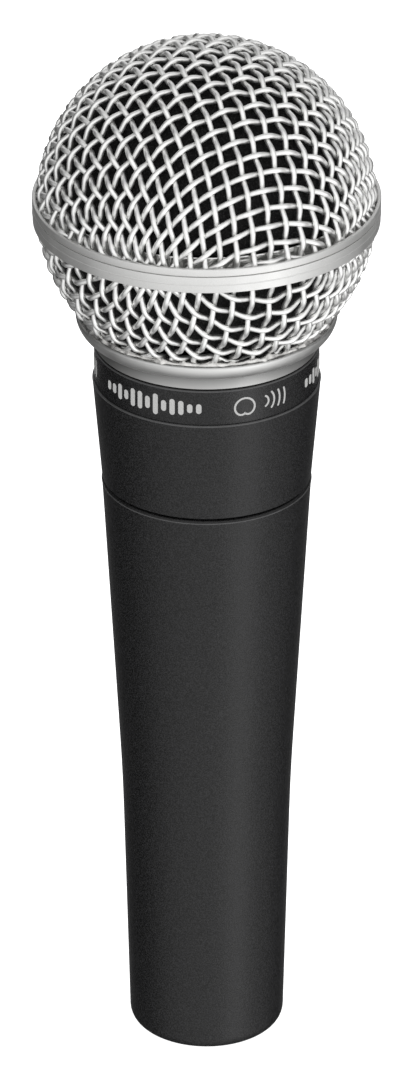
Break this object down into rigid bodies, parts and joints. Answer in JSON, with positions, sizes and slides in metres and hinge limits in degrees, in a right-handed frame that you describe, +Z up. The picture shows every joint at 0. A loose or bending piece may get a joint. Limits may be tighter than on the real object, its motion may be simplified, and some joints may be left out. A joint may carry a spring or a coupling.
{
  "type": "dynamic microphone",
  "caption": "Handheld dynamic vocal microphone with a woven wire ball grille, a tapered enamelled handle and a cable socket in the tail.",
  "frame": {"origin": "centre of the tail face, where the microphone stands on its rim", "axes": "+Z up the axis to the top of the ball grille, +X through contact pins 1 and 2, +Y towards the socket's latch pocket"},
  "size_m": [0.051, 0.051, 0.162],
  "materials": {
    "handle_enamel": "fine-grained dark charcoal enamel, satin",
    "name_band_enamel": "dark charcoal enamel, satin, blank",
    "grille_wire": "woven spring-steel wire, satin tin plating",
    "satin_nickel": "satin nickel plating",
    "hoop_steel": "plain rolled steel",
    "windscreen_foam": "open-cell black foam",
    "shock_rubber": "matt moulded rubber",
    "socket_plastic": "matt glass-filled plastic",
    "contact_plating": "gold-plated brass",
    "spring_steel": "bright spring steel",
    "core_steel": "stacked laminations",
    "bobbin_plastic": "natural moulded plastic",
    "copper_wire": "enamelled copper wire",
    "potting_wax": "amber wax",
    "lead_insulation": "stranded lead insulation",
    "cap_enamel": "black painted sheet steel",
    "screen_cloth": "fine acoustic cloth",
    "felt": "pressed wool felt",
    "cartridge_plastic": "moulded black plastic",
    "pole_steel": "zinc-plated soft iron",
    "magnet_alloy": "ground magnet alloy",
    "tube_aluminium": "drawn aluminium",
    "lug_brass": "tinned brass",
    "diaphragm_film": "thin translucent polyester film",
    "former_aluminium": "thin foil"
  },
  "bodies": {
    "handle": {"handle": "handle_enamel", "neck_sleeve": "handle_enamel", "name_band": "name_band_enamel", "connector_insulator": "socket_plastic", "contact_pin_1": "contact_plating", "contact_pin_2": "contact_plating", "contact_pin_3": "contact_plating", "ground_contact": "spring_steel", "insert_screw": "spring_steel", "transformer_core": "core_steel", "transformer_bobbin": "bobbin_plastic", "transformer_winding": "copper_wire", "transformer_potting": "potting_wax", "output_leads": "lead_insulation", "cartridge_leads": "lead_insulation", "front_shock_mount": "shock_rubber", "rear_shock_mount": "shock_rubber"},
    "foam_liner": {"foam_bowl_liner": "windscreen_foam", "foam_dome_liner": "windscreen_foam"},
    "grille": {"grille_dome_mesh": "grille_wire", "grille_bowl_mesh": "grille_wire", "grille_band": "satin_nickel", "grille_collar": "satin_nickel", "grille_inner_hoop": "hoop_steel"},
    "cartridge": {"cartridge_cap": "cap_enamel", "cap_screen": "screen_cloth", "resonator_disc": "cartridge_plastic", "cartridge_basket": "cartridge_plastic", "magnet_cup": "pole_steel", "magnet": "magnet_alloy", "pole_cap": "pole_steel", "rear_tube": "tube_aluminium", "tube_cap": "cartridge_plastic", "tube_felt": "felt", "terminal_lugs": "lug_brass", "diaphragm_surround": "diaphragm_film"},
    "moving_coil": {"diaphragm_dome": "diaphragm_film", "coil_former": "former_aluminium", "voice_coil": "copper_wire"}
  },
  "joints": [
    {"name": "grille_rise", "type": "slide", "parent": "handle", "child": "foam_liner", "axis": [0, 0, 1], "range_m": [0, 0.0036]},
    {"name": "grille_turn", "type": "hinge", "parent": "foam_liner", "child": "grille", "pos_m": [0, 0, 0.11695], "axis": [0, 0, 1], "range_deg": [0, 1575]},
    {"name": "cartridge_float", "type": "slide", "parent": "handle", "child": "cartridge", "axis": [0, 0, 1], "range_m": [-0.0008, 0.0008], "stiffness_N_per_m": 4000, "deforming": ["front_shock_mount", "rear_shock_mount", "cartridge_leads"]},
    {"name": "coil_travel", "type": "slide", "parent": "cartridge", "child": "moving_coil", "axis": [0, 0, 1], "range_m": [-0.0003, 0.0003], "stiffness_N_per_m": 90, "deforming": ["diaphragm_surround"]}
  ],
  "couplings": [
    {"joint": "grille_rise", "follows": "grille_turn", "m_per_rad": 0.00012732}
  ]
}
